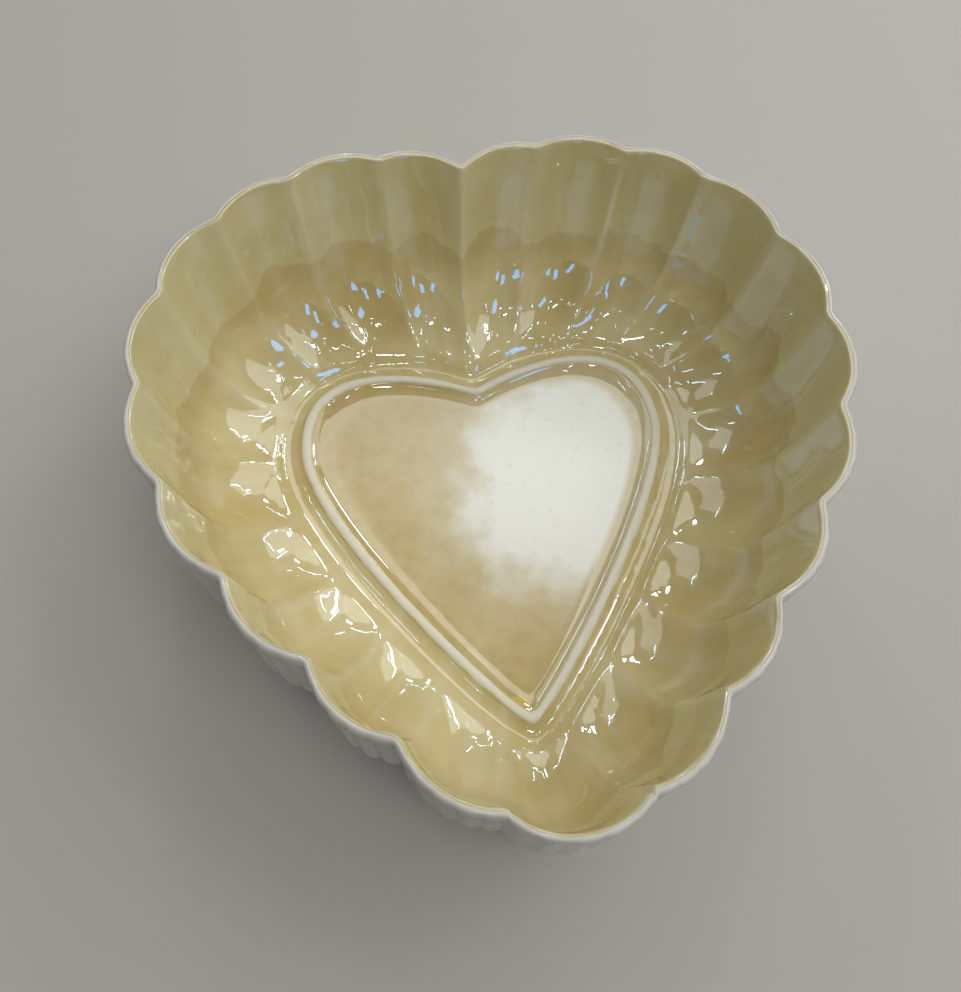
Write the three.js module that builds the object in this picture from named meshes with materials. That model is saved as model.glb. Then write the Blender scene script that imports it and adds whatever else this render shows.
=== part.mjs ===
// Heart-shaped fluted dish, slip-cast in porcelain: a thin scalloped wall curving into a flat floor,
// a bare raised heart line around a shallow well, a pearly lustre coat inside, a clear coat outside
// and a heart-shaped foot underneath. Millimetres, +Z up, +Y towards the cleft of the heart.
// The origin is on the surface the dish stands on, under the middle of its outline.

import * as THREE from 'three';

// ---- outline of the rim ----
// The inward cusps between the scallops of the right half, from the cleft round to the tip.
const CLEFT = [0, 74];
const RIGHT_CUSPS = [
  [19.5, 79], [41, 75], [58, 64], [70.5, 44.5], [75, 21],
  [70.5, -2.5], [59, -24], [44.5, -42.5], [30, -59], [12.5, -74],
];
const SCALLOP_RISE = 0.187; // height of a scallop's arc over its chord, as a share of the chord
const TIP_RISE = 0.25; // the wide scallop at the tip stands out further
const CLEFT_FILL = 0.5; // how far the even outline runs outside the cleft
const CUSP_FILL = 2.4; // how far the even outline runs outside every other cusp
const OUTLINE_MIDDLE = 0.4; // the middle of the rim, front to back, on the outline's own Y

// ---- outline of the raised heart line, right half ----
const RIDGE_CLEFT = [0, 39.5];
const RIDGE_WIDEST = [45, 26.5];
const RIDGE_TIP = [0, -48];
const RIDGE_UPPER_HANDLES = [[17.5, 48.5], [45, 54.5]];
const RIDGE_LOWER_HANDLES = [[45, 8], [9, -40]];
const RIDGE_WIDEST_CUSP = 5; // the cusp that lies beside the widest place
const WELL_CENTRE = [0, 10];

// ---- section through the wall and floor ----
// A section point is [inward, height]: the distance in from the rim, and the height over the table.
const RIM_HEIGHT = 54;
const LIP_WIDTH = 2; // rounded top edge
const RIDGE_INWARD = 30; // the raised line's crest lies this far in from the rim
const CENTRE_INWARD = 75; // the middle of the well
const RIDGE_HEIGHT = 8.6;
const RIDGE_WIDTH = 2.4;
const RIDGE_SEAT = 6.6; // underside of the raised line
const WELL_EDGE_HEIGHT = 6.6;
const WELL_CROWN_HEIGHT = 6.9;
const FLOOR_UNDERSIDE = 3.3;
const FOOT_HEIGHT = 3;
const FOOT_OUTER = 20.6;
const FOOT_INNER = 25.2;
const FOOT_EDGE = 0.6; // chamfer where the foot meets the table
const COAT = 0.4; // thickness of a glaze coat
const GAP = 0.3; // clearance between a coat and the porcelain

// ---- fineness ----
const STEPS_PER_SCALLOP = 6;
const WALL_CURVE_STEPS = 4;

const SCALLOPS = 2 * RIGHT_CUSPS.length + 1;
const FLUTES_START_FADING = 0.15; // share of the way from rim to raised line
const FLUTES_GONE = 0.8;
const RIB_RISE = 1.4; // how far the ribs between the flutes stand up at the foot of the wall

const vec = ([x, y]) => new THREE.Vector3(x, y, 0);

function rimCusps() {
  const right = RIGHT_CUSPS.map(vec);
  const left = RIGHT_CUSPS.map(([x, y]) => vec([-x, y])).reverse();
  return [vec(CLEFT), ...right, ...left];
}

const CUSPS = rimCusps();

function outwardNormal(from, to) {
  const along = to.clone().sub(from).normalize();
  return new THREE.Vector3(-along.y, along.x, 0);
}

// A smooth heart that runs midway through the scallops.
function evenOutline() {
  const points = CUSPS.map((cusp, i) => {
    const before = CUSPS[(i + SCALLOPS - 1) % SCALLOPS];
    const after = CUSPS[(i + 1) % SCALLOPS];
    const fill = i === 0 ? CLEFT_FILL : CUSP_FILL;
    return cusp.clone().addScaledVector(outwardNormal(before, after), fill);
  });
  return new THREE.CatmullRomCurve3(points, true);
}

const EVEN_OUTLINE = evenOutline();

// Each scallop is a round arc over the chord between two cusps. "place" counts cusps round the rim.
function scallopedRim(place) {
  const index = Math.floor(place) % SCALLOPS;
  const from = CUSPS[index];
  const to = CUSPS[(index + 1) % SCALLOPS];
  const rise = index === RIGHT_CUSPS.length ? TIP_RISE : SCALLOP_RISE;
  const halfAngle = 2 * Math.atan(2 * rise);
  const angle = halfAngle * (2 * (place - Math.floor(place)) - 1);
  const chord = from.distanceTo(to);
  const radius = chord / (2 * Math.sin(halfAngle));
  const along = to.clone().sub(from).normalize();
  return from.clone().add(to).multiplyScalar(0.5)
    .addScaledVector(along, radius * Math.sin(angle))
    .addScaledVector(outwardNormal(from, to), radius * (Math.cos(angle) - Math.cos(halfAngle)));
}

const RIDGE_UPPER = new THREE.CubicBezierCurve3(
  vec(RIDGE_CLEFT), ...RIDGE_UPPER_HANDLES.map(vec), vec(RIDGE_WIDEST));
const RIDGE_LOWER = new THREE.CubicBezierCurve3(
  vec(RIDGE_WIDEST), ...RIDGE_LOWER_HANDLES.map(vec), vec(RIDGE_TIP));

function ridgeOutline(place) {
  const onRight = place <= SCALLOPS / 2;
  const halfPlace = onRight ? place : SCALLOPS - place;
  const lowerSpan = SCALLOPS / 2 - RIDGE_WIDEST_CUSP;
  const point = halfPlace <= RIDGE_WIDEST_CUSP
    ? RIDGE_UPPER.getPointAt(halfPlace / RIDGE_WIDEST_CUSP)
    : RIDGE_LOWER.getPointAt((halfPlace - RIDGE_WIDEST_CUSP) / lowerSpan);
  return onRight ? point : new THREE.Vector3(-point.x, point.y, 0);
}

// The point in plan at a place round the rim and a distance in from it. The flutes follow the wall
// down and fade out over the floor.
function planPoint(place, inward) {
  const ridge = ridgeOutline(place);
  if (inward >= RIDGE_INWARD) {
    const share = (inward - RIDGE_INWARD) / (CENTRE_INWARD - RIDGE_INWARD);
    return ridge.lerp(vec(WELL_CENTRE), share);
  }
  const share = inward / RIDGE_INWARD;
  const even = EVEN_OUTLINE.getPoint(place / SCALLOPS);
  const flute = scallopedRim(place).sub(even);
  const fade = 1 - THREE.MathUtils.smoothstep(share, FLUTES_START_FADING, FLUTES_GONE);
  return even.lerp(ridge, share).addScaledVector(flute, fade);
}

// The ribs run down the wall and out over the edge of the floor, and end before the groove.
function ribRise(place, inward) {
  const fromMiddle = 2 * (place - Math.floor(place)) - 1;
  const down = THREE.MathUtils.smoothstep(inward, 5, 13);
  const end = 1 - THREE.MathUtils.smoothstep(inward, 18, 23);
  return RIB_RISE * fromMiddle ** 2 * down * end;
}

// Marks the points of a section line that rise with the ribs.
const ribbed = (line) => line.map(([inward, height]) => [inward, height, true]);

// Sweeps a section round the heart. A section that starts and ends at the middle makes a disc, and
// any other closes on itself and makes a ring.
function sweep(section) {
  const isDisc = section[0][0] === CENTRE_INWARD;
  const count = SCALLOPS * STEPS_PER_SCALLOP;
  const rows = isDisc ? section.slice(1, -1) : section;
  const positions = [];
  for (const [inward, height, onRibs] of rows) {
    for (let i = 0; i < count; i++) {
      const place = i / STEPS_PER_SCALLOP;
      const point = planPoint(place, inward);
      positions.push(point.x, point.y, onRibs ? height + ribRise(place, inward) : height);
    }
  }
  const triangles = [];
  const strips = isDisc ? rows.length - 1 : rows.length;
  for (let row = 0; row < strips; row++) {
    const next = (row + 1) % rows.length;
    const goesOut = rows[next][0] < rows[row][0];
    for (let i = 0; i < count; i++) {
      const j = (i + 1) % count;
      const [a, b] = [row * count + i, row * count + j];
      const [c, d] = [next * count + i, next * count + j];
      // The two sides of a thin coat split their four-sided faces the same way in plan.
      triangles.push(...(goesOut ? [a, b, d, a, d, c] : [a, b, c, b, d, c]));
    }
  }
  if (isDisc) {
    const first = positions.length / 3;
    positions.push(...WELL_CENTRE, section[0][1], ...WELL_CENTRE, section.at(-1)[1]);
    const lastRow = (rows.length - 1) * count;
    for (let i = 0; i < count; i++) {
      const j = (i + 1) % count;
      triangles.push(first, j, i, first + 1, lastRow + i, lastRow + j);
    }
  }
  const geometry = new THREE.BufferGeometry();
  geometry.setAttribute('position', new THREE.Float32BufferAttribute(positions, 3));
  geometry.setIndex(triangles);
  geometry.computeVertexNormals();
  return geometry;
}

// Moves a section line into the porcelain, which is on its left as it is walked.
function sunk(line, distance) {
  return line.map((point, i) => {
    const before = line[Math.max(i - 1, 0)];
    const after = line[Math.min(i + 1, line.length - 1)];
    const [dx, dy] = [after[0] - before[0], after[1] - before[1]];
    const length = Math.hypot(dx, dy);
    return [point[0] - distance * dy / length, point[1] + distance * dx / length];
  });
}

// A quarter of an ellipse, upright at the top and level at the bottom, walked downwards.
function wallCurve([topInward, topHeight], [footInward, footHeight]) {
  const points = [];
  for (let i = 0; i <= WALL_CURVE_STEPS; i++) {
    const angle = (i / WALL_CURVE_STEPS) * Math.PI / 2;
    points.push([
      footInward - (footInward - topInward) * Math.cos(angle),
      topHeight - (topHeight - footHeight) * Math.sin(angle),
    ]);
  }
  return points;
}

// The section's lines are walked one way round: from the middle of the well out to the lip, over it
// and down the outside to the foot.
const WELL_LINE = [
  [CENTRE_INWARD, WELL_CROWN_HEIGHT],
  [37, WELL_EDGE_HEIGHT],
  [33.4, 7],
  [31.6, 7.8],
];

const INSIDE_LINE = [
  [28.4, 7.4],
  [26.4, 6.9],
  [24.4, 7.6],
  [22, 8.8],
  [17.6, 10.2],
  [12.2, 14.5],
  [7.4, 22.5],
  [4.8, 33],
  [LIP_WIDTH + 0.3, RIM_HEIGHT - 1.6],
];

const OUTSIDE_LINE = [
  [LIP_WIDTH, RIM_HEIGHT - 1],
  [LIP_WIDTH - 0.5, RIM_HEIGHT - 0.2],
  [LIP_WIDTH / 2, RIM_HEIGHT],
  [0.3, RIM_HEIGHT - 0.4],
  [0, RIM_HEIGHT - 1.4],
  ...wallCurve([1, 34], [20.4, 3.6]),
];

// A coat lies on the porcelain along a section line.
const coat = (line) => [...line, ...sunk(line, COAT).reverse()];

function porcelainBody() {
  const depth = COAT + GAP;
  const seat = RIDGE_SEAT - GAP;
  const wellFloor = WELL_LINE.slice(0, 3).map(([inward, height]) => {
    return [inward, Math.min(height - depth, seat)];
  });
  return sweep([
    ...wellFloor,
    [RIDGE_INWARD - RIDGE_WIDTH / 2, seat],
    ...ribbed(sunk(INSIDE_LINE, depth).slice(1)),
    ...sunk(OUTSIDE_LINE, depth).slice(2),
    [FOOT_OUTER + COAT, FLOOR_UNDERSIDE],
    [CENTRE_INWARD, FLOOR_UNDERSIDE],
  ]);
}

function lustreLining() {
  return sweep(ribbed(coat(INSIDE_LINE)));
}

function wellLining() {
  const under = WELL_LINE.map(([inward, height]) => [inward, height - COAT]);
  return sweep([...WELL_LINE, ...under.reverse()]);
}

function clearOuterCoat() {
  return sweep(coat(OUTSIDE_LINE));
}

function raisedHeartLine() {
  const half = RIDGE_WIDTH / 2;
  const shoulder = RIDGE_HEIGHT - 0.6;
  return sweep([
    [RIDGE_INWARD + half, RIDGE_SEAT],
    [RIDGE_INWARD + half, shoulder],
    [RIDGE_INWARD + half / 2, RIDGE_HEIGHT],
    [RIDGE_INWARD - half / 2, RIDGE_HEIGHT],
    [RIDGE_INWARD - half, shoulder],
    [RIDGE_INWARD - half, RIDGE_SEAT],
  ]);
}

function footRing() {
  return sweep([
    [FOOT_INNER, FOOT_HEIGHT],
    [FOOT_OUTER, FOOT_HEIGHT],
    [FOOT_OUTER, FOOT_EDGE],
    [FOOT_OUTER + FOOT_EDGE, 0],
    [FOOT_INNER - FOOT_EDGE, 0],
    [FOOT_INNER, FOOT_EDGE],
  ]);
}

function baseCoat() {
  const top = FLOOR_UNDERSIDE - GAP;
  const edge = FOOT_INNER + GAP;
  return sweep([
    [CENTRE_INWARD, top],
    [edge, top],
    [edge, top - COAT],
    [CENTRE_INWARD, top - COAT],
  ]);
}

function glaze(color, roughness) {
  return new THREE.MeshStandardMaterial({ color, roughness, metalness: 0 });
}

const PIECES = [
  ['porcelain_body', porcelainBody(), glaze(0xece9e2, 0.45)],
  ['lustre_lining', lustreLining(), glaze(0xc4b37d, 0.08)],
  ['well_lining', wellLining(), glaze(0xcabc93, 0.1)],
  ['clear_outer_coat', clearOuterCoat(), glaze(0xe9e6e0, 0.12)],
  ['raised_heart_line', raisedHeartLine(), glaze(0xefebe0, 0.7)],
  ['foot_ring', footRing(), glaze(0xe6e0d4, 0.8)],
  ['base_coat', baseCoat(), glaze(0xe9e6e0, 0.15)],
];

const group = new THREE.Group();
group.position.y = -OUTLINE_MIDDLE;
for (const [name, geometry, material] of PIECES) {
  const mesh = new THREE.Mesh(geometry, material);
  mesh.name = name;
  group.add(mesh);
}

export default group;
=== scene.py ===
import math
from collections import namedtuple

import bmesh
import bpy
from bpy.props import FloatProperty, FloatVectorProperty, IntProperty, PointerProperty
from mathutils import Matrix, Quaternion, Vector, noise
from mathutils.geometry import interpolate_bezier


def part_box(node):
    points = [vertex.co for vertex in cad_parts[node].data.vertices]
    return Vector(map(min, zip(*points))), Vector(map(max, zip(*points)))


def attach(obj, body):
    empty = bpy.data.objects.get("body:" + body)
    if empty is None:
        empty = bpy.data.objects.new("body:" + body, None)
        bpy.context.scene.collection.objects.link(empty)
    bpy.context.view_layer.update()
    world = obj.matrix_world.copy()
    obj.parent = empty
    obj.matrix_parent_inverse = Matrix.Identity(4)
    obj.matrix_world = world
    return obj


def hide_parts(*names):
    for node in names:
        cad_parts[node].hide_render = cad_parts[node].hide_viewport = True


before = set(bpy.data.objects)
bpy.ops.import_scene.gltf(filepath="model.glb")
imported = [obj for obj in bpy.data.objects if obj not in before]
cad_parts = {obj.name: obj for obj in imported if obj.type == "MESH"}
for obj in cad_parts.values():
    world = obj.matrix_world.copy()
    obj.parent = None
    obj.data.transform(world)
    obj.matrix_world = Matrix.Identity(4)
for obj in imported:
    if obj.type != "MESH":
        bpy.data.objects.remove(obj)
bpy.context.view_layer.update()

bl_info = {
    "name": "Heart Dish",
    "version": (1, 0, 0),
    "blender": (4, 5, 0),
    "location": "3D View > Sidebar > Heart Dish",
    "description": "Builds a heart-shaped fluted porcelain dish with a pearly lustre lining",
    "category": "Add Mesh",
}

MM = 0.001

# ---------------------------------------------------------------------------------------------
# Outlines, in millimetres seen from above, with the cleft of the heart towards +Y
# ---------------------------------------------------------------------------------------------

# The inward cusps between the scallops of the right half, from the cleft round to the tip.
CLEFT = (0.0, 73.6)
RIGHT_CUSPS = (
    (19.5, 78.6), (41.0, 74.6), (58.0, 63.6), (70.5, 44.1), (75.0, 20.6),
    (70.5, -2.9), (59.0, -24.4), (44.5, -42.9), (30.0, -59.4), (12.5, -74.4),
)
TIP_SCALLOP = len(RIGHT_CUSPS)
SCALLOPS = 2 * len(RIGHT_CUSPS) + 1
SCALLOP_RISE = 0.187
TIP_RISE = 0.25
CUSP_ROUNDING = 0.10
CLEFT_FILL = 0.5
CUSP_FILL = 2.4

RIDGE_UPPER = ((0.0, 39.1), (17.5, 48.1), (45.0, 54.1), (45.0, 26.1))
RIDGE_LOWER = ((45.0, 26.1), (45.0, 7.6), (9.0, -40.4), (0.0, -48.4))
RIDGE_WIDEST_CUSP = 5
RIDGE_SOFTNESS = 0.12
WELL_CENTRE = Vector((0.0, 9.6))

# ---------------------------------------------------------------------------------------------
# Section lines: distance in from the rim, and height over the table. They are walked
# anticlockwise, from the middle of the well over the rim to the foot, so the porcelain is
# always on their left.
# ---------------------------------------------------------------------------------------------

RIM_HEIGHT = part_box("clear_outer_coat")[1][2] / MM
RIDGE_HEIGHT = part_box("raised_heart_line")[1][2] / MM
FOOT_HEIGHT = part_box("foot_ring")[1][2] / MM
FLOOR_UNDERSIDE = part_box("porcelain_body")[0][2] / MM
RIDGE_INWARD = 30.0
CENTRE_INWARD = 75.0

# Shares of the way from the rim to the raised line.
FLUTES_START_FADING = 0.15
FLUTES_GONE = 0.80

COAT_CLEARANCE = 0.05
RIB_RISE = 1.6
HAND_SWELL = 0.14
HAND_SWELL_SIZE = 24
HAND_DENTS = 0.03
HAND_DENTS_SIZE = 8


def wall_curve(top, foot, steps):
    """A quarter of an oval from the upright wall down to the flat floor."""
    points = []
    for i in range(steps + 1):
        angle = i / steps * math.pi / 2
        points.append((foot[0] - (foot[0] - top[0]) * math.cos(angle),
                       top[1] - (top[1] - foot[1]) * math.sin(angle)))
    return points


WELL_LINE = (
    (CENTRE_INWARD, 6.9), (60.0, 6.85), (45.0, 6.7), (38.0, 6.6), (34.4, 6.75), (32.4, 7.25), (30.9, 8.0),
)
GROOVE_LINE = (
    (29.1, 7.9), (28.1, 7.15), (26.4, 6.8), (24.9, 7.0), (23.7, 7.9), (22.4, 8.7), (21.0, 9.0),
)
INSIDE_LINE = (
    *GROOVE_LINE, (18.6, 9.8), (14.6, 12.3), (10.4, 17.0), (7.4, 23.0), (5.6, 30.0), (4.2, 37.0),
    (3.1, 45.0), (2.0, RIM_HEIGHT - 1.8), (1.75, RIM_HEIGHT - 0.7), (1.3, RIM_HEIGHT - 0.12),
)
LIP_LINE = (
    (1.3, RIM_HEIGHT - 0.12), (0.95, RIM_HEIGHT - 0.02), (0.6, RIM_HEIGHT - 0.12),
    (0.28, RIM_HEIGHT - 0.5), (0.1, RIM_HEIGHT - 1.3),
)
OUTSIDE_LINE = (
    (0.1, RIM_HEIGHT - 1.3), (0.25, RIM_HEIGHT - 4), (0.6, 44.0),
    *wall_curve((1.1, 34.0), (20.4, 3.6), 8),
)
HEART_LINE = (
    (31.5, 6.6), (31.35, 7.5), (31.0, RIDGE_HEIGHT - 0.35), (30.4, RIDGE_HEIGHT - 0.03),
    (29.6, RIDGE_HEIGHT - 0.03), (29.0, RIDGE_HEIGHT - 0.35), (28.65, 7.5), (28.5, 6.6),
)
FOOT_LINE = (
    (25.2, FOOT_HEIGHT), (20.6, FOOT_HEIGHT), (20.7, 1.2), (21.2, 0.2), (21.8, 0.0), (24.2, 0.0),
    (24.8, 0.3), (25.2, 1.2), (25.2, FOOT_HEIGHT),
)

Spoke = namedtuple("Spoke", "place reach even flute ridge")
Row = namedtuple("Row", "inward height side side_up run part")


def cusps():
    right = [Vector(p) for p in RIGHT_CUSPS]
    left = [Vector((-p.x, p.y)) for p in reversed(right)]
    return [Vector(CLEFT)] + right + left


def outward(start, end):
    along = (end - start).normalized()
    return Vector((-along.y, along.x))


def round_curve(points, position):
    """A smooth closed curve through the points; position counts them."""
    n = len(points)
    i = math.floor(position)
    t = position - i
    p0, p1, p2, p3 = (points[(i + k) % n] for k in (-1, 0, 1, 2))
    return 0.5 * (2 * p1 + (p2 - p0) * t + (2 * p0 - 5 * p1 + 4 * p2 - p3) * t * t
                  + (3 * p1 - p0 - 3 * p2 + p3) * t ** 3)


def walk(points, share):
    """The point at a share of the length of an open line of points."""
    lengths = [0.0]
    for a, b in zip(points, points[1:]):
        lengths.append(lengths[-1] + (b - a).length)
    target = share * lengths[-1]
    for i, (low, high) in enumerate(zip(lengths, lengths[1:])):
        if target <= high:
            return points[i].lerp(points[i + 1], (target - low) / max(high - low, 1e-9))
    return points[-1].copy()


def smoothstep(value, low, high):
    t = min(max((value - low) / (high - low), 0.0), 1.0)
    return t * t * (3 - 2 * t)


def bezier(corners, steps):
    handles = [Vector((x, y, 0.0)) for x, y in corners]
    return [p.to_2d() for p in interpolate_bezier(*handles, steps)]


class Outline:
    """The heart's rim and raised line, cut into spokes that run in from the rim."""

    def __init__(self, steps):
        self.cusps = cusps()
        n = len(self.cusps)
        self.normals = [outward(self.cusps[i - 1], self.cusps[(i + 1) % n]) for i in range(n)]
        self.even = [c + self.normals[i] * (CLEFT_FILL if i == 0 else CUSP_FILL)
                     for i, c in enumerate(self.cusps)]
        self.upper = bezier(RIDGE_UPPER, 200)
        self.lower = bezier(RIDGE_LOWER, 200)
        self.spokes = [self.spoke(i / steps) for i in range(SCALLOPS * steps)]

    def scalloped(self, place):
        """A point of the rim and how near it is to a cusp, from 0 on an arch to 0.9 at the cusp."""
        index = int(place) % SCALLOPS
        share = place - int(place)
        after = (index + 1) % SCALLOPS
        start, end = self.cusps[index], self.cusps[after]
        rise = TIP_RISE if index == TIP_SCALLOP else SCALLOP_RISE
        half_angle = 2 * math.atan(2 * rise)
        half = (end - start).length / 2
        radius = half / math.sin(half_angle)
        reach = max(0.0, 1 - math.hypot(1 - abs(2 * share - 1), CUSP_ROUNDING))
        height = math.sqrt(radius ** 2 - (reach * half) ** 2) - radius * math.cos(half_angle)
        normal = self.normals[index].lerp(self.normals[after], share).normalized()
        return start.lerp(end, share) + normal * height, reach

    def ridge(self, place):
        place %= SCALLOPS
        half_place = min(place, SCALLOPS - place)
        if half_place <= RIDGE_WIDEST_CUSP:
            point = walk(self.upper, half_place / RIDGE_WIDEST_CUSP)
        else:
            rest = SCALLOPS / 2 - RIDGE_WIDEST_CUSP
            point = walk(self.lower, (half_place - RIDGE_WIDEST_CUSP) / rest)
        return point if place <= SCALLOPS / 2 else Vector((-point.x, point.y))

    def spoke(self, place):
        rim, reach = self.scalloped(place)
        even = round_curve(self.even, place)
        near = [self.ridge(place + k * RIDGE_SOFTNESS) for k in (-1, 0, 0, 1)]
        ridge = sum(near, Vector((0.0, 0.0))) / 4
        return Spoke(place, reach, even, rim - even, ridge)


def plan_point(spoke, inward):
    """Where a spoke is, seen from above, at a distance in from the rim."""
    if inward >= RIDGE_INWARD:
        share = min((inward - RIDGE_INWARD) / (CENTRE_INWARD - RIDGE_INWARD), 1.0)
        return spoke.ridge.lerp(WELL_CENTRE, share)
    share = inward / RIDGE_INWARD
    fade = 1 - smoothstep(share, FLUTES_START_FADING, FLUTES_GONE)
    return spoke.even.lerp(spoke.ridge, share) + spoke.flute * fade


def smooth_line(points, step, part=""):
    """Rounds a section line off and divides it evenly; each row knows the way into the porcelain."""
    points = [Vector(p) for p in points]
    dense = []
    for i in range(len(points) - 1):
        p0 = points[max(i - 1, 0)]
        p1, p2 = points[i], points[i + 1]
        p3 = points[min(i + 2, len(points) - 1)]
        m1 = (p2 - p0) / max((p2 - p0).length, 1e-6) * (p2 - p1).length
        m2 = (p3 - p1) / max((p3 - p1).length, 1e-6) * (p2 - p1).length
        for k in range(24):
            t = k / 24
            dense.append((2 * t ** 3 - 3 * t ** 2 + 1) * p1 + (t ** 3 - 2 * t ** 2 + t) * m1
                         + (3 * t ** 2 - 2 * t ** 3) * p2 + (t ** 3 - t ** 2) * m2)
    dense.append(points[-1])
    total = sum((b - a).length for a, b in zip(dense, dense[1:]))
    count = max(2, round(total / step))
    line = [walk(dense, i / count) for i in range(count + 1)]
    rows = []
    for i, p in enumerate(line):
        d = (line[min(i + 1, count)] - line[max(i - 1, 0)]).normalized()
        rows.append(Row(p.x, p.y, -d.y, d.x, i / count * total, part))
    return rows


def flat_line(inwards, height):
    return [Row(inward, height, 0.0, 0.0, 0.0, "flat") for inward in inwards]


def moved(row, depth):
    """A row's distance in and height once it is moved into the porcelain."""
    return row.inward + row.side * depth, row.height + row.side_up * depth


def coat_back(step, coat, part):
    """The line between the porcelain and the coat on it, which thins out at the lip."""
    rows = smooth_line(INSIDE_LINE, step, part)
    last = len(rows) - 1
    backs = []
    for i, row in enumerate(rows):
        inward, height = moved(row, coat * (1 - smoothstep(i / last, 0.93, 1.0)))
        backs.append(row._replace(inward=inward, height=height))
    return backs


def hand_wobble(spoke, row):
    """How far a hand-finished surface strays from its drawn line, in millimetres."""
    flat = plan_point(spoke, row.inward)
    at = Vector((flat.x, flat.y, row.height))
    swell = HAND_SWELL * noise.noise(at / HAND_SWELL_SIZE)
    return swell + HAND_DENTS * noise.noise(at / HAND_DENTS_SIZE)


def rib_rise(spoke, inward):
    """How far the ribs between the flutes stand up where the wall has turned into the floor."""
    on_floor = smoothstep(inward, 5.0, 13.0) * (1 - smoothstep(inward, 18.0, 23.2))
    return RIB_RISE * spoke.reach ** 2 * on_floor


def inside_shape(spoke, row):
    """Where the inside is once it has its ribs and its unevenness, which fades out at the lip."""
    wobble = hand_wobble(spoke, row) * smoothstep(RIM_HEIGHT - row.height, 0.5, 5.0)
    inward, height = moved(row, wobble)
    return inward, height + rib_rise(spoke, row.inward)


def reed_valley(spoke, count):
    """From 0 on the round of a reed to 1 in the crease between two of them."""
    share = spoke.place - int(spoke.place)
    return 1 - abs(math.sin(math.pi * share * count)) ** 0.8


def swept_mesh(name, outline, rows, shape, close):
    """Sweeps a section round the heart by extruding one ring of edges after another."""
    bm = bmesh.new()
    spoke_layer = bm.verts.layers.int.new("spoke")
    run_layer = bm.verts.layers.float_vector.new("run")
    inward_layer = bm.verts.layers.float.new("inward")
    rib_layer = bm.verts.layers.float.new("rib")

    def place_ring(verts, row):
        for v in verts:
            spoke = outline.spokes[v[spoke_layer]]
            inward, height = shape(spoke, row)
            at = plan_point(spoke, inward)
            angle = spoke.place / SCALLOPS * 2 * math.pi
            v.co = (at.x * MM, at.y * MM, height * MM)
            v[run_layer] = Vector((80 * math.cos(angle), 80 * math.sin(angle), row.run)) * MM
            v[inward_layer] = row.inward
            v[rib_layer] = spoke.reach ** 6

    ring = bmesh.ops.create_circle(bm, segments=len(outline.spokes), radius=1.0)["verts"]
    for i, v in enumerate(ring):
        v[spoke_layer] = i
    edges = list(bm.edges)
    place_ring(ring, rows[0])
    first = ring
    for row in rows[1:]:
        made = bmesh.ops.extrude_edge_only(bm, edges=edges)["geom"]
        ring = [g for g in made if isinstance(g, bmesh.types.BMVert)]
        fresh = set(ring)
        edges = [g for g in made if isinstance(g, bmesh.types.BMEdge) and set(g.verts) <= fresh]
        place_ring(ring, row)
    if close == "poles":
        for pole in (first, ring):
            middle = sum((v.co for v in pole), Vector()) / len(pole)
            bmesh.ops.pointmerge(bm, verts=pole, merge_co=middle)
    bmesh.ops.remove_doubles(bm, verts=bm.verts, dist=1e-7)
    bmesh.ops.recalc_face_normals(bm, faces=bm.faces)
    for face in bm.faces:
        face.smooth = True
    mesh = bpy.data.meshes.new(name)
    bm.to_mesh(mesh)
    bm.free()
    piece = bpy.data.objects.new(name, mesh)
    bpy.context.scene.collection.objects.link(piece)
    return piece


# ---------------------------------------------------------------------------------------------
# Materials
# ---------------------------------------------------------------------------------------------

def srgb(hex_value):
    parts = [int(hex_value[i:i + 2], 16) / 255 for i in (1, 3, 5)]
    linear = [p / 12.92 if p <= 0.04045 else ((p + 0.055) / 1.055) ** 2.4 for p in parts]
    return (*linear, 1.0)


def add(tree, kind, settings=None, inputs=None):
    """Adds a node, sets its properties and its sockets; a socket given an output is linked to it."""
    node = tree.nodes.new(kind)
    for key, value in (settings or {}).items():
        setattr(node, key, value)
    for key, value in (inputs or {}).items():
        if isinstance(value, bpy.types.NodeSocket):
            tree.links.new(value, node.inputs[key])
        else:
            node.inputs[key].default_value = value
    return node


def new_material(name):
    material = bpy.data.materials.new(name)
    material.use_nodes = True
    tree = material.node_tree
    tree.nodes.clear()
    return material, tree


def finish_material(tree, sockets):
    shader = add(tree, "ShaderNodeBsdfPrincipled", inputs=sockets)
    add(tree, "ShaderNodeOutputMaterial", inputs={"Surface": shader.outputs["BSDF"]})


def attribute(tree, name, output="Fac"):
    return add(tree, "ShaderNodeAttribute", {"attribute_name": name}).outputs[output]


def object_place(tree):
    return add(tree, "ShaderNodeTexCoord").outputs["Object"]


def stretched(tree, vector, scale):
    return add(tree, "ShaderNodeVectorMath", {"operation": "MULTIPLY"},
               {0: vector, 1: scale}).outputs["Vector"]


def cloud(tree, vector, size_mm, detail=2.0):
    """Soft noise whose blobs are about size_mm across."""
    return add(tree, "ShaderNodeTexNoise",
               inputs={"Vector": vector, "Scale": 1 / (size_mm * MM), "Detail": detail}).outputs["Fac"]


def ease(tree, value, low, high, start=0.0, end=1.0):
    """Eases from start to end while value goes from low to high."""
    return add(tree, "ShaderNodeMapRange", {"interpolation_type": "SMOOTHSTEP"},
               {"Value": value, "From Min": low, "From Max": high,
                "To Min": start, "To Max": end}).outputs["Result"]


def math_node(tree, operation, a, b):
    return add(tree, "ShaderNodeMath", {"operation": operation}, {0: a, 1: b}).outputs["Value"]


def mix(tree, factor, a, b):
    return add(tree, "ShaderNodeMix", {"data_type": "RGBA"},
               {"Factor": factor, "A": a, "B": b}).outputs["Result"]


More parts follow.
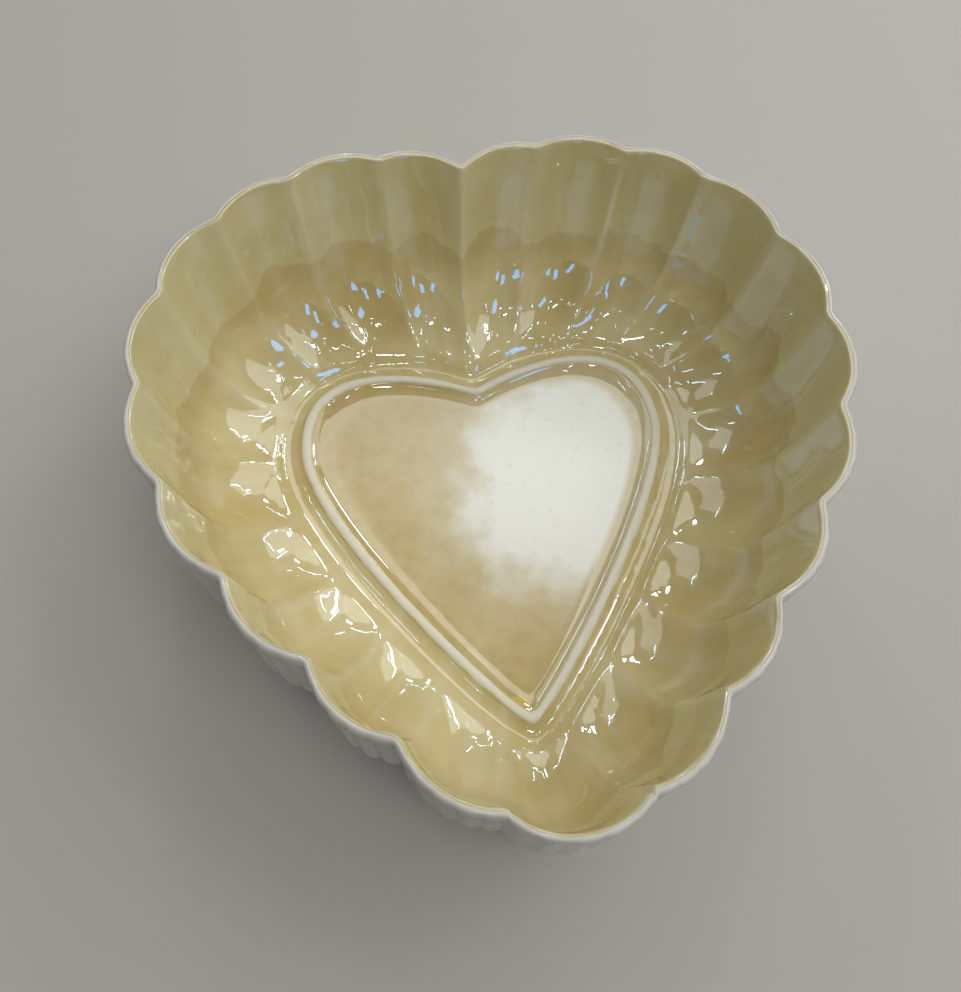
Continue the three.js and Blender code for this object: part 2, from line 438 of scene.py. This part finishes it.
def relief(tree, layers):
    """One bump from layers of (noise, height in millimetres)."""
    height = 0.0
    for value, depth in layers:
        height = add(tree, "ShaderNodeMath", {"operation": "MULTIPLY_ADD"},
                     {0: value, 1: depth, 2: height}).outputs["Value"]
    return add(tree, "ShaderNodeBump",
               inputs={"Height": height, "Strength": 1.0, "Distance": MM}).outputs["Normal"]


# A metal-oxide film 70 nanometres thick, which gives the lustre its pearly sheen.
LUSTRE_FILM = {"Thin Film Thickness": 70.0, "Thin Film IOR": 1.75}


def pearl_lustre(colours):
    """Straw pearl lustre fired over the glaze of the wall and the flutes."""
    material, tree = new_material("pearl_lustre_glaze")
    run = attribute(tree, "run", "Vector")
    place = object_place(tree)
    inward = attribute(tree, "inward")
    # Brushed on by hand, so the straw colour drifts from pale to golden and back over a few flutes.
    colour = mix(tree, ease(tree, cloud(tree, place, 26, 4.0), 0.38, 0.66), colours.straw, colours.golden)
    # A wavy line runs round the wall and paints the reflection of the near rim: greener above it,
    # with a browner band of painted shade just below it. The lining is also more golden in the groove
    # round the raised line.
    rim_reflection_line = add(tree, "ShaderNodeMath", {"operation": "MULTIPLY_ADD"},
               {0: cloud(tree, place, 12, 4.0), 1: 5.0, 2: inward}).outputs["Value"]
    colour = mix(tree, ease(tree, rim_reflection_line, 8.4, 8.0, 0.0, 0.46), colour, colours.painted_reflection_sage)
    painted_shade_band = math_node(tree, "MULTIPLY", ease(tree, rim_reflection_line, 8.1, 8.4),
                           ease(tree, rim_reflection_line, 13.0, 8.5, 0.0, 0.40))
    colour = mix(tree, painted_shade_band, colour, colours.tan)
    colour = mix(tree, ease(tree, inward, 22.0, 26.0, 0.0, 0.30), colour, colours.golden)
    # Faint upright brush marks, a finer mottle, paler ribs and a few kiln specks.
    brushed = cloud(tree, stretched(tree, run, (1.0, 1.0, 0.10)), 4.0, 3.0)
    colour = mix(tree, ease(tree, brushed, 0.42, 0.75, 0.0, 0.12), colour, colours.thin)
    mottle = ease(tree, cloud(tree, place, 5, 5.0), 0.45, 0.8, 0.0, 0.40)
    colour = mix(tree, mottle, colour, colours.golden)
    colour = mix(tree, ease(tree, attribute(tree, "rib"), 0.0, 0.5, 0.0, 0.08), colour, colours.thin)
    specks = ease(tree, cloud(tree, place, 1.4, 1.0), 0.80, 0.84, 0.0, 0.5)
    colour = mix(tree, specks, colour, colours.speck)
    # The glaze ran a little while it was wet: long swells with fine ripples over them.
    patches = ease(tree, cloud(tree, place, 13, 1.0), 0.46, 0.60)
    ripples = math_node(tree, "MULTIPLY", cloud(tree, run, 3.4, 1.5), patches)
    normal = relief(tree, ((cloud(tree, run, 9, 1.0), 0.08), (ripples, 0.12)))
    finish_material(tree, {"Base Color": colour, "Roughness": 0.015, "IOR": 1.5, "Normal": normal,
                           **LUSTRE_FILM})
    return material


def well_lustre(colours):
    """The same lustre in the well, rubbed satin, with a white patch that is partly worn lustre and partly
    a painted reflection of a bright lamp.
    """
    material, tree = new_material("rubbed_pearl_lustre")
    place = object_place(tree)
    inward = attribute(tree, "inward")
    flat = ease(tree, inward, 35.0, 38.0)
    colour = mix(tree, ease(tree, cloud(tree, place, 15, 5.0), 0.20, 0.50), colours.straw, colours.golden)
    colour = mix(tree, 0.22, colour, colours.tan)
    stains = ease(tree, cloud(tree, place, 3.0, 6.0), 0.35, 0.75, 0.0, 0.40)
    colour = mix(tree, stains, colour, colours.tan)
    # The patch, partly worn lustre and partly a painted reflection of a bright lamp: an oval right of the
    # middle, its edge broken up by noise, with a faint pale painted halo round it.
    oval = add(tree, "ShaderNodeMapping", {"vector_type": "TEXTURE"},
               {"Vector": place, "Location": (0.0190, 0.0125, 0.0069), "Rotation": (0.0, 0.0, -0.35),
                "Scale": (0.030, 0.038, 1.0)}).outputs["Vector"]
    from_middle = add(tree, "ShaderNodeVectorMath", {"operation": "LENGTH"}, {0: oval}).outputs["Value"]
    edge = add(tree, "ShaderNodeMath", {"operation": "MULTIPLY_ADD"},
               {0: cloud(tree, place, 9, 6.0), 1: 0.7, 2: from_middle}).outputs["Value"]
    worn = math_node(tree, "MULTIPLY", ease(tree, edge, 1.40, 0.95), flat)
    colour = mix(tree, ease(tree, edge, 1.8, 1.3, 0.0, 0.15), colour, colours.thin)
    colour = mix(tree, worn, colour, colours.thin)
    scuffs = math_node(tree, "MULTIPLY",
                       ease(tree, cloud(tree, place, 1.6, 3.0), 0.58, 0.8, 0.0, 0.30), worn)
    colour = mix(tree, scuffs, colour, colours.scuff)
    # Lustre pooled in the tip of the well.
    from_tip = add(tree, "ShaderNodeVectorMath", {"operation": "DISTANCE"},
                   {0: place, 1: (-0.0022, -0.0440, 0.0072)}).outputs["Value"]
    pooled = add(tree, "ShaderNodeMath", {"operation": "MULTIPLY_ADD"},
                 {0: cloud(tree, place, 1.5, 3.0), 1: 2.0 * MM, 2: from_tip}).outputs["Value"]
    colour = mix(tree, ease(tree, pooled, 3.6 * MM, 3.0 * MM, 0.0, 0.8), colour, colours.pooled)
    # Rubbed satin on the flat, still glossy where the well turns up to the raised line.
    roughness = ease(tree, inward, 35.0, 38.5, 0.03, 0.21)
    normal = relief(tree, ((cloud(tree, place, 9, 1.0), 0.06), (cloud(tree, place, 1.1, 2.0), 0.006)))
    finish_material(tree, {"Base Color": colour, "Roughness": roughness, "IOR": 1.5, "Normal": normal,
                           **LUSTRE_FILM})
    return material


def clear_glaze(name, colours):
    """White porcelain under a clear glaze: glossy, with a faint orange-peel waviness."""
    material, tree = new_material(name)
    place = object_place(tree)
    paler = ease(tree, cloud(tree, place, 30, 3.0), 0.4, 0.7, 0.0, 0.25)
    colour = mix(tree, paler, colours.white, colours.bare)
    normal = relief(tree, ((cloud(tree, place, 7, 1.0), 0.05), (cloud(tree, place, 1.5, 1.0), 0.008)))
    finish_material(tree, {"Base Color": colour, "Roughness": 0.09, "IOR": 1.52, "Normal": normal})
    return material


def bare_line(colours):
    """Unglazed white porcelain with the lustre creeping up its flanks in a ragged edge."""
    material, tree = new_material("bare_porcelain_line")
    place = object_place(tree)
    inward = attribute(tree, "inward")
    off_crest = add(tree, "ShaderNodeMath", {"operation": "ABSOLUTE"},
                    {0: math_node(tree, "SUBTRACT", inward, RIDGE_INWARD)}).outputs["Value"]
    ragged = add(tree, "ShaderNodeMath", {"operation": "MULTIPLY_ADD"},
                 {0: cloud(tree, place, 5.0, 6.0), 1: 2.4, 2: off_crest}).outputs["Value"]
    colour = mix(tree, ease(tree, ragged, 2.35, 2.55), colours.line, colours.straw)
    stains = ease(tree, cloud(tree, place, 0.9, 2.0), 0.68, 0.80, 0.0, 0.25)
    colour = mix(tree, stains, colour, colours.tan)
    normal = relief(tree, ((cloud(tree, place, 3.0, 2.0), 0.05), (cloud(tree, place, 0.7, 2.0), 0.03)))
    finish_material(tree, {"Base Color": colour, "Roughness": 0.6, "IOR": 1.5, "Normal": normal})
    return material


def bare_foot(colours):
    """Unglazed porcelain, ground flat and greyed where it has stood on tables."""
    material, tree = new_material("ground_bare_porcelain")
    place = object_place(tree)
    height = add(tree, "ShaderNodeSeparateXYZ", inputs={"Vector": place}).outputs["Z"]
    grime = math_node(tree, "MULTIPLY", ease(tree, height, 1.2 * MM, 0.0),
                      ease(tree, cloud(tree, place, 7, 6.0), 0.30, 0.75, 0.05, 0.35))
    colour = mix(tree, grime, colours.bare, colours.tan)
    normal = relief(tree, ((cloud(tree, place, 0.8, 2.0), 0.03),))
    finish_material(tree, {"Base Color": colour, "Roughness": 0.8, "IOR": 1.5, "Normal": normal})
    return material


def matt_floor(colours):
    material, tree = new_material("matt_pale_floor")
    finish_material(tree, {"Base Color": colours.floor, "Roughness": 0.6})
    return material


# ---------------------------------------------------------------------------------------------
# What a user would change
# ---------------------------------------------------------------------------------------------

def colour_property(name, description, hex_value):
    return FloatVectorProperty(name=name, description=description, subtype="COLOR",
                               size=4, min=0.0, max=1.0, default=srgb(hex_value))


class DishSizes(bpy.types.PropertyGroup):
    steps: IntProperty(name="Steps per scallop", description="Fineness round the rim",
                       default=36, min=8, max=40)
    reeds: IntProperty(name="Reeds per scallop", description="Fine reeds outside each scallop",
                       default=5, min=1, max=8)
    reed_depth: FloatProperty(name="Reed depth", description="Depth of the crease between two reeds",
                              default=0.7 * MM, unit="LENGTH")
    coat: FloatProperty(name="Coat", description="Thickness of the lustre coat",
                        default=0.3 * MM, unit="LENGTH")


class DishColours(bpy.types.PropertyGroup):
    straw: colour_property("Straw lustre", "Main colour of the lining", "#D8CB99")
    golden: colour_property("Golden lustre", "Lining where the lustre is thick", "#CAB77B")
    # Sage paints the reflection above the wavy line high on the wall.
    painted_reflection_sage: colour_property("Sage lustre", "Lining high on the wall", "#CFCBA4")
    # Tan also paints the band of painted shade just below that wavy line.
    tan: colour_property("Tan", "Stains on worn and bare porcelain", "#B09A68")
    pooled: colour_property("Pooled lustre", "Yellow pool in the tip of the well", "#D8BE5A")
    # Thin lustre also paints the reflection of a bright lamp on the well's white patch and its halo.
    thin: colour_property("Thin lustre", "Lining where it has worn thin", "#EEF0EA")
    scuff: colour_property("Scuff", "Scuffs on the worn patch", "#BDBBA8")
    speck: colour_property("Speck", "Kiln specks in the lining", "#8A7A55")
    white: colour_property("Porcelain", "White porcelain under clear glaze", "#CAC8C1")
    bare: colour_property("Bare porcelain", "Unglazed foot", "#F1EFE8")
    line: colour_property("Heart line", "Bare porcelain of the raised line", "#E2DED0")
    floor: colour_property("Floor", "Floor under the dish", "#B8B5AF")


def settle(piece, nodes, material):
    """Gives a piece its material, hangs it under the root body and hides the drawn solids that it stands
    for.
    """
    piece.data.materials.append(material)
    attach(piece, "root")
    for node in nodes:
        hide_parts(node)


class HEARTDISH_OT_shell(bpy.types.Operator):
    """Makes the white porcelain shell with its rounded lip and reeded outside"""
    bl_idname = "heartdish.shell"
    bl_label = "Porcelain shell"

    def execute(self, context):
        sizes = context.scene.dish_sizes
        depth = sizes.reed_depth / MM
        under_coat = sizes.coat / MM + COAT_CLEARANCE
        rows = flat_line((CENTRE_INWARD, 31.4, 28.9), 6.2)
        rows += coat_back(2.0, under_coat, "inside")
        rows += smooth_line(LIP_LINE, 0.25, "lip")[1:]
        rows += smooth_line(OUTSIDE_LINE, 1.2, "outside")[1:]
        rows += flat_line((21.2, 30.0, CENTRE_INWARD), FLOOR_UNDERSIDE)

        def shape(spoke, row):
            if row.part == "outside":
                near_lip = 0.3 + 0.7 * smoothstep(RIM_HEIGHT - row.height, 1.3, 8.0)
                near_foot = smoothstep(row.height, 4.0, 16.0)
                return moved(row, depth * reed_valley(spoke, sizes.reeds) * near_lip * near_foot)
            if row.part == "lip":
                outer = smoothstep(1.3 - row.inward, 0.0, 1.2)
                return row.inward + 0.3 * depth * reed_valley(spoke, sizes.reeds) * outer, row.height
            if row.part == "inside":
                return inside_shape(spoke, row)
            return row.inward, row.height

        piece = swept_mesh("porcelain_shell", Outline(sizes.steps), rows, shape, "poles")
        settle(piece, ("porcelain_body", "clear_outer_coat"),
               clear_glaze("clear_glazed_porcelain", context.scene.dish_colours))
        return {"FINISHED"}


class HEARTDISH_OT_lining(bpy.types.Operator):
    """Makes the pearly lustre coat on the wall and the fluted floor"""
    bl_idname = "heartdish.lining"
    bl_label = "Lustre lining"

    def execute(self, context):
        sizes = context.scene.dish_sizes
        face = smooth_line(INSIDE_LINE, 0.8, "face")
        back = coat_back(2.0, sizes.coat / MM, "back")
        rows = face + list(reversed(back)) + [face[0]]
        piece = swept_mesh("pearl_lustre_lining", Outline(sizes.steps), rows, inside_shape, "ring")
        settle(piece, ("lustre_lining",), pearl_lustre(context.scene.dish_colours))
        return {"FINISHED"}


class HEARTDISH_OT_well(bpy.types.Operator):
    """Makes the lustre coat in the well inside the raised heart line"""
    bl_idname = "heartdish.well"
    bl_label = "Well lining"

    def execute(self, context):
        sizes = context.scene.dish_sizes
        back = [row._replace(height=row.height - sizes.coat / MM) for row in smooth_line(WELL_LINE, 3.0)]
        rows = smooth_line(WELL_LINE, 0.8) + list(reversed(back))

        def shape(spoke, row):
            return row.inward, row.height + 0.5 * hand_wobble(spoke, row)

        piece = swept_mesh("pearl_lustre_well", Outline(sizes.steps), rows, shape, "poles")
        settle(piece, ("well_lining",), well_lustre(context.scene.dish_colours))
        return {"FINISHED"}


class HEARTDISH_OT_heart_line(bpy.types.Operator):
    """Makes the bare raised heart line"""
    bl_idname = "heartdish.heart_line"
    bl_label = "Raised heart line"

    def execute(self, context):
        sizes = context.scene.dish_sizes
        rows = smooth_line(HEART_LINE, 0.3)
        rows.append(rows[0])

        def shape(spoke, row):
            sag = 0.5 * abs(hand_wobble(spoke, row)) * smoothstep(row.height, 7.0, 8.0)
            return row.inward, row.height - sag

        piece = swept_mesh("bare_heart_line", Outline(sizes.steps), rows, shape, "ring")
        settle(piece, ("raised_heart_line",), bare_line(context.scene.dish_colours))
        return {"FINISHED"}


class HEARTDISH_OT_foot(bpy.types.Operator):
    """Makes the unglazed foot ring"""
    bl_idname = "heartdish.foot"
    bl_label = "Foot ring"

    def execute(self, context):
        def shape(_spoke, row):
            return row.inward, max(row.height, 0.0)

        outline = Outline(context.scene.dish_sizes.steps)
        piece = swept_mesh("bare_foot_ring", outline, smooth_line(FOOT_LINE, 0.5), shape, "ring")
        settle(piece, ("foot_ring",), bare_foot(context.scene.dish_colours))
        return {"FINISHED"}


class HEARTDISH_OT_base_coat(bpy.types.Operator):
    """Makes the glazed underside inside the foot"""
    bl_idname = "heartdish.base_coat"
    bl_label = "Glazed underside"

    def execute(self, context):
        def shape(_spoke, row):
            return row.inward, row.height

        rows = flat_line((CENTRE_INWARD, 50.0, 25.6), FOOT_HEIGHT)
        rows += flat_line((25.6, 40.0, 60.0, CENTRE_INWARD), FOOT_HEIGHT - 0.4)
        outline = Outline(context.scene.dish_sizes.steps)
        piece = swept_mesh("clear_glazed_base", outline, rows, shape, "poles")
        settle(piece, ("base_coat",),
               clear_glaze("clear_glazed_base", context.scene.dish_colours))
        return {"FINISHED"}


# ---------------------------------------------------------------------------------------------
# Stage
# ---------------------------------------------------------------------------------------------

# A lamp stands at a bearing from +Y towards +X and a rise over the table, both in degrees, at a
# distance in metres, and is turned about its own axis. Glow is its brightness, the same for any
# size. It lights the dish, is mirrored in the glaze, or does both.
Lamp = namedtuple("Lamp", "name bearing rise turn distance width depth glow colour use")

DAYLIGHT = (1.0, 0.985, 0.95)
COOL = (0.55, 0.76, 1.0)
SKY = (0.10, 0.46, 1.0)
LAMPS = [
    Lamp("overhead key", 150, 60, 0, 3.00, 1.80, 1.80, 2.9, DAYLIGHT, "light"),
    Lamp("far panel", 15, 56, 0, 1.50, 0.76, 0.50, 1.40, DAYLIGHT, "both"),
    Lamp("right panel", 76, 38, 0, 1.20, 1.20, 0.90, 1.20, DAYLIGHT, "both"),
    Lamp("left panel", -46, 42, 0, 1.30, 0.70, 0.45, 0.95, DAYLIGHT, "both"),
]


def lamp_row(name, places, distance, width, depth, glow, colour, use):
    """Adds lamps alike in all but their place, given as (bearing, rise, turn)."""
    LAMPS.extend(Lamp(f"{name} {i}", *place, distance, width, depth, glow, colour, use)
                 for i, place in enumerate(places))


# Placed for the glints that they leave in the glaze. Only the bulbs light the dish as well.
lamp_row("bulb", ((27, 40, 10), (-2, 38, 80), (50, 38, 95), (85, 60, 0), (190, 76, 30)),
         distance=0.8, width=0.085, depth=0.037, glow=30.0, colour=DAYLIGHT, use="both")
lamp_row("tube", ((46, 34, 95), (18, 32, -10), (60, 28, 20), (-30, 34, 10), (68, 20, 75), (100, 50, 85),
                  (30, 24, 60), (90, 62, 20), (-60, 56, 90)),
         distance=1.5, width=0.30, depth=0.008, glow=50.0, colour=COOL, use="mirror")
lamp_row("spark", ((95, 66, 10), (-20, 72, 80), (120, 40, 60), (80, 78, 0), (-60, 66, 20), (-75, 30, 90),
                   (165, 62, 0), (150, 70, 50), (-150, 62, 20), (-110, 60, 80)),
         distance=1.5, width=0.16, depth=0.016, glow=20.0, colour=COOL, use="mirror")
lamp_row("window", ((160, 22, 70), (175, 32, 90), (-155, 26, 80), (-93, 15, 0), (139, 52, 10),
                    (178, 10, 0)),
         distance=1.5, width=0.34, depth=0.18, glow=5.5, colour=SKY, use="mirror")


def light_up(scene, lamp):
    data = bpy.data.lights.new(lamp.name, "AREA")
    data.shape = "RECTANGLE"
    data.size = lamp.width
    data.size_y = lamp.depth
    data.energy = lamp.glow * lamp.width * lamp.depth * math.pi
    data.color = lamp.colour
    light = bpy.data.objects.new(lamp.name, data)
    scene.collection.objects.link(light)
    bearing, rise = math.radians(lamp.bearing), math.radians(lamp.rise)
    way = Vector((math.sin(bearing) * math.cos(rise), math.cos(bearing) * math.cos(rise), math.sin(rise)))
    facing = (-way).to_track_quat("-Z", "Y") @ Quaternion((0, 0, 1), math.radians(lamp.turn))
    light.location = way * lamp.distance
    light.rotation_euler = facing.to_euler()
    light.visible_camera = False
    light.visible_glossy = lamp.use != "light"
    light.visible_diffuse = lamp.use != "mirror"


def soft_room(scene):
    """A plain room that is paler on the far side than on the near one."""
    world = bpy.data.worlds.new("soft_room")
    scene.world = world
    world.use_nodes = True
    tree = world.node_tree
    tree.nodes.clear()
    way = add(tree, "ShaderNodeTexCoord").outputs["Generated"]
    away = add(tree, "ShaderNodeSeparateXYZ", inputs={"Vector": way}).outputs["Y"]
    shade = ease(tree, away, -0.5, 0.5, 0.04, 0.24)
    background = add(tree, "ShaderNodeBackground",
                     inputs={"Color": (1.0, 0.98, 0.95, 1.0), "Strength": shade})
    add(tree, "ShaderNodeOutputWorld", inputs={"Surface": background.outputs["Background"]})


SENSOR_WIDTH = 36.0
LENS = 35.42
CAMERA_ELEVATION = math.radians(62.82)
CAMERA_BEARING = math.radians(12.43)
CAMERA_ROLL = math.radians(4.39)
CAMERA_TARGET = Vector((-0.0046, 0.0029, 0.0200))
CAMERA_DISTANCE = 0.2289


def aim_camera(scene):
    data = bpy.data.cameras.new("camera")
    data.sensor_width = SENSOR_WIDTH
    data.lens = LENS
    camera = bpy.data.objects.new("camera", data)
    scene.collection.objects.link(camera)
    scene.camera = camera
    forward = Vector((math.sin(CAMERA_BEARING) * math.cos(CAMERA_ELEVATION),
                      math.cos(CAMERA_BEARING) * math.cos(CAMERA_ELEVATION),
                      -math.sin(CAMERA_ELEVATION)))
    look = forward.to_track_quat("-Z", "Y").to_matrix().to_4x4()
    place = Matrix.Translation(CAMERA_TARGET - forward * CAMERA_DISTANCE)
    camera.matrix_world = place @ look @ Matrix.Rotation(CAMERA_ROLL, 4, "Z")


FLOOR_HALF_WIDTH = 3.0
FLOOR_GAP = 0.1 * MM


class HEARTDISH_OT_stage(bpy.types.Operator):
    """Makes the floor, the lights and the camera"""
    bl_idname = "heartdish.stage"
    bl_label = "Floor, lights and camera"

    def execute(self, context):
        scene = context.scene
        bm = bmesh.new()
        bmesh.ops.create_grid(bm, x_segments=1, y_segments=1, size=FLOOR_HALF_WIDTH)
        mesh = bpy.data.meshes.new("floor")
        bm.to_mesh(mesh)
        bm.free()
        mesh.materials.append(matt_floor(scene.dish_colours))
        floor = bpy.data.objects.new("floor", mesh)
        floor.location.z = -FLOOR_GAP
        scene.collection.objects.link(floor)

        soft_room(scene)
        for lamp in LAMPS:
            light_up(scene, lamp)
        aim_camera(scene)
        scene.view_settings.view_transform = "Standard"
        return {"FINISHED"}


OPERATORS = (
    HEARTDISH_OT_stage, HEARTDISH_OT_shell, HEARTDISH_OT_lining, HEARTDISH_OT_well,
    HEARTDISH_OT_heart_line, HEARTDISH_OT_foot, HEARTDISH_OT_base_coat,
)


class HEARTDISH_PT_panel(bpy.types.Panel):
    """Lists the dish's pieces, sizes and colours"""
    bl_idname = "HEARTDISH_PT_panel"
    bl_label = "Heart Dish"
    bl_space_type = "VIEW_3D"
    bl_region_type = "UI"
    bl_category = "Heart Dish"

    def draw(self, context):
        for group in (context.scene.dish_sizes, context.scene.dish_colours):
            for name in group.__annotations__:
                self.layout.prop(group, name)
        for operator in OPERATORS:
            self.layout.operator(operator.bl_idname)


CLASSES = (DishSizes, DishColours, *OPERATORS, HEARTDISH_PT_panel)


def register():
    for cls in CLASSES:
        bpy.utils.register_class(cls)
    bpy.types.Scene.dish_sizes = PointerProperty(type=DishSizes)
    bpy.types.Scene.dish_colours = PointerProperty(type=DishColours)


def unregister():
    del bpy.types.Scene.dish_colours
    del bpy.types.Scene.dish_sizes
    for cls in reversed(CLASSES):
        bpy.utils.unregister_class(cls)


def main():
    register()
    bpy.ops.heartdish.stage()
    bpy.ops.heartdish.shell()
    bpy.ops.heartdish.lining()
    bpy.ops.heartdish.well()
    bpy.ops.heartdish.heart_line()
    bpy.ops.heartdish.foot()
    bpy.ops.heartdish.base_coat()


if __name__ == "__main__":
    main()
